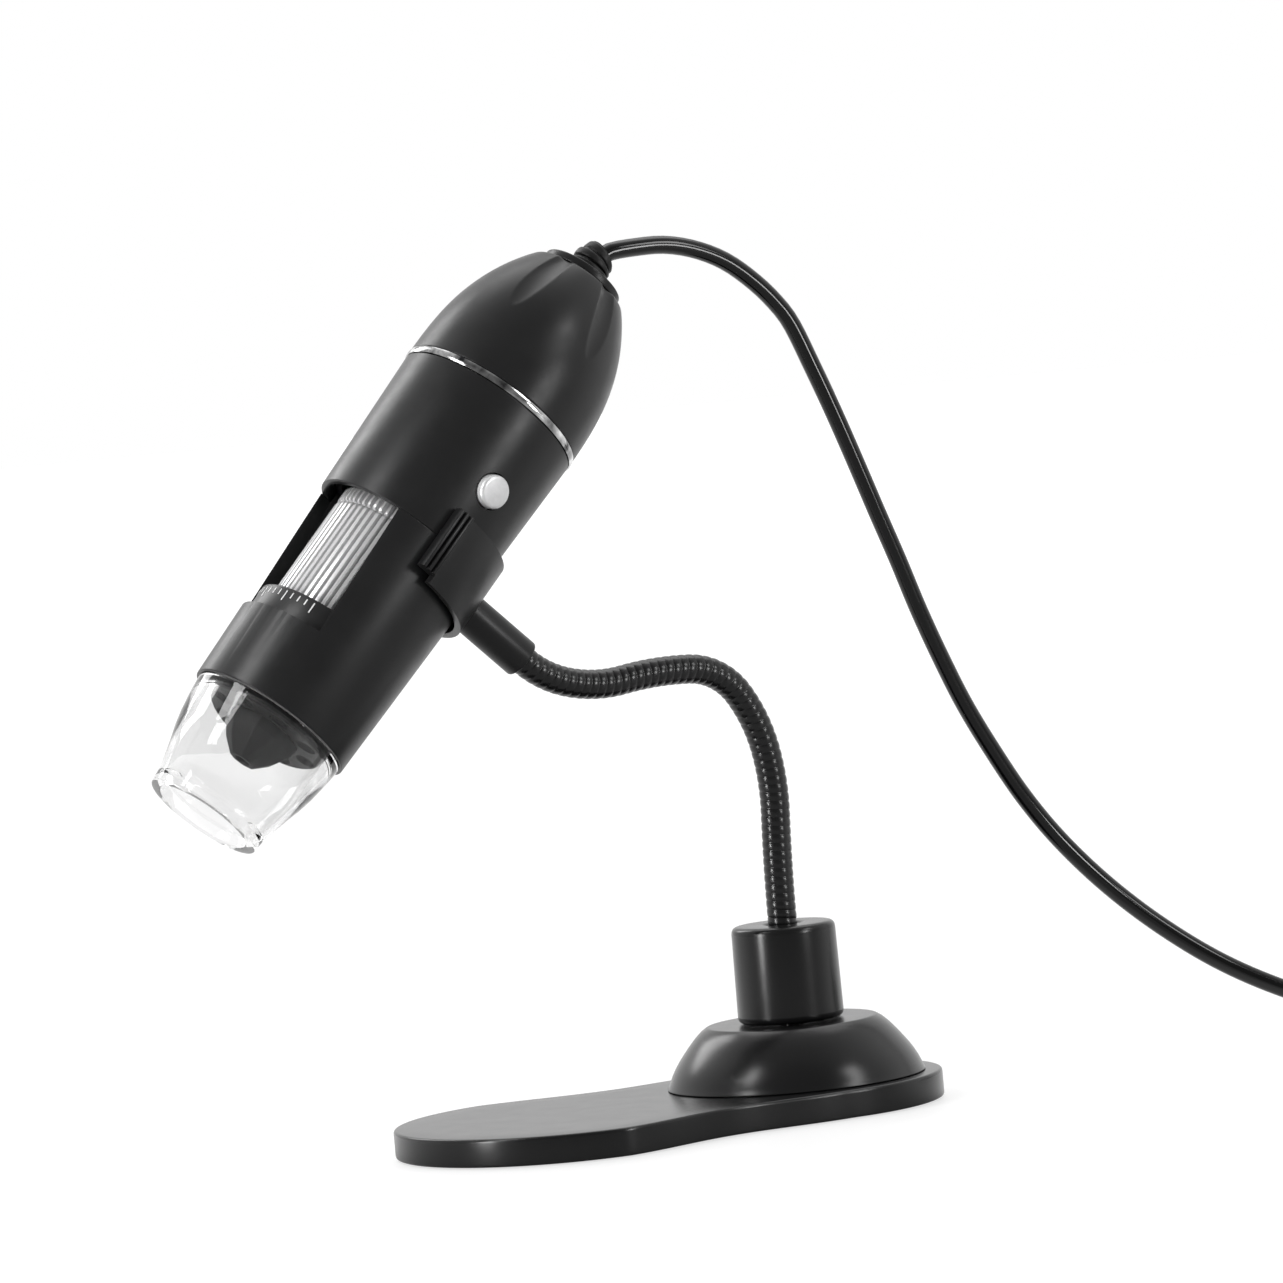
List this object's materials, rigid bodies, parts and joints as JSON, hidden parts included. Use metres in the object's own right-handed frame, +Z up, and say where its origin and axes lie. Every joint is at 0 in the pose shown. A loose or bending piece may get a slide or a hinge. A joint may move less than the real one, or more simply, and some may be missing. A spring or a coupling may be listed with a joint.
{
  "type": "usb digital microscope",
  "caption": "Handheld USB digital microscope with a clear snout and a focus wheel, held in a spring clip on a gooseneck over a domed base and plate, with its cable and plug.",
  "frame": {"origin": "on the table plane, under the axis of the post", "axes": "+Z up along the post, -X along the base plate towards its long end, the neck, clip and microscope in the plane y = 0"},
  "size_m": [0.3246, 0.0611, 0.1508],
  "materials": {
    "body_black": "satin",
    "stand_black": "semi-gloss",
    "rubber_black": "matte",
    "cable_black": "semi-gloss",
    "neck_black": "satin",
    "chrome": "polished",
    "aluminium": "satin",
    "steel": "satin",
    "iron": "matte",
    "clear": "clear plastic, polished",
    "lamp": "clear lens",
    "board_green": "solder mask",
    "chip_grey": "matte"
  },
  "bodies": {
    "stand": {"base_plate": "stand_black", "foot_pad": "rubber_black", "base_dome": "stand_black", "base_weight": "iron", "base_post": "stand_black", "base_screw": "steel", "neck_1": "neck_black", "cable_lead": "cable_black", "cable_coil": "cable_black", "plug_overmould": "rubber_black", "plug_shell": "steel", "plug_tongue": "chip_grey"},
    "neck_a": {"neck_2": "neck_black"},
    "neck_b": {"neck_3": "neck_black"},
    "neck_c": {"neck_4": "neck_black"},
    "neck_d": {"neck_5": "neck_black"},
    "neck_e": {"neck_6": "neck_black"},
    "clip": {"neck_7": "neck_black", "arm_sleeve": "body_black", "holder_clip": "body_black"},
    "scope": {"tail_housing": "body_black", "tail_cap": "body_black", "strain_relief": "rubber_black", "chrome_ring": "chrome", "upper_barrel": "body_black", "lower_barrel": "body_black", "scale_band": "chip_grey", "sensor_board": "board_green", "image_sensor": "chip_grey", "main_board": "board_green", "button_switch": "chip_grey", "led_board": "board_green", "led_shroud": "body_black", "led_1": "lamp", "led_2": "lamp", "led_3": "lamp", "led_4": "lamp", "led_5": "lamp", "led_6": "lamp", "led_7": "lamp", "led_8": "lamp", "nose_cone": "body_black", "clear_snout": "clear"},
    "wheel": {"focus_wheel": "aluminium"},
    "lens": {"lens_carriage": "body_black", "objective_lens": "clear"},
    "button": {"snap_button": "aluminium", "switch_plunger": "body_black"}
  },
  "joints": [
    {"name": "neck_bend_1", "type": "hinge", "parent": "stand", "child": "neck_a", "pos_m": [0.00054, 0, 0.05045], "axis": [0, 1, 0], "range_deg": [-2, 23.5], "deforming": ["cable_lead"]},
    {"name": "neck_bend_2", "type": "hinge", "parent": "neck_a", "child": "neck_b", "pos_m": [-0.00024, 0, 0.06129], "axis": [0, 1, 0], "range_deg": [-2, 23.5]},
    {"name": "neck_bend_3", "type": "hinge", "parent": "neck_b", "child": "neck_c", "pos_m": [-0.00439, 0, 0.07126], "axis": [0, 1, 0], "range_deg": [-2, 23.5]},
    {"name": "neck_bend_4", "type": "hinge", "parent": "neck_c", "child": "neck_d", "pos_m": [-0.01346, 0, 0.07653], "axis": [0, 1, 0], "range_deg": [-2, 23.5]},
    {"name": "neck_bend_5", "type": "hinge", "parent": "neck_d", "child": "neck_e", "pos_m": [-0.02606, 0, 0.07607], "axis": [0, 1, 0], "range_deg": [-20, 6]},
    {"name": "neck_bend_6", "type": "hinge", "parent": "neck_e", "child": "clip", "pos_m": [-0.0368, 0, 0.0769], "axis": [0, 1, 0], "range_deg": [-20, 6]},
    {"name": "scope_twist", "type": "hinge", "parent": "clip", "child": "scope", "pos_m": [-0.04638, 0, 0.12337], "axis": [0.6909, 0, 0.723], "range_deg": [-90, 90]},
    {"name": "focus_turn", "type": "hinge", "parent": "scope", "child": "wheel", "pos_m": [-0.04638, 0, 0.12337], "axis": [0.6909, 0, 0.723], "range_deg": [-160, 160]},
    {"name": "lens_travel", "type": "slide", "parent": "scope", "child": "lens", "axis": [0.6909, 0, 0.723], "range_m": [-0.002, 0.002]},
    {"name": "button_press", "type": "slide", "parent": "scope", "child": "button", "axis": [-0.1355, 0.9823, 0.1295], "range_m": [0, 0.0007], "stiffness_N_per_m": 400, "springref_m": -0.0005}
  ],
  "couplings": [
    {"joint": "focus_turn", "follows": "lens_travel", "rad_per_m": 1396.2}
  ]
}
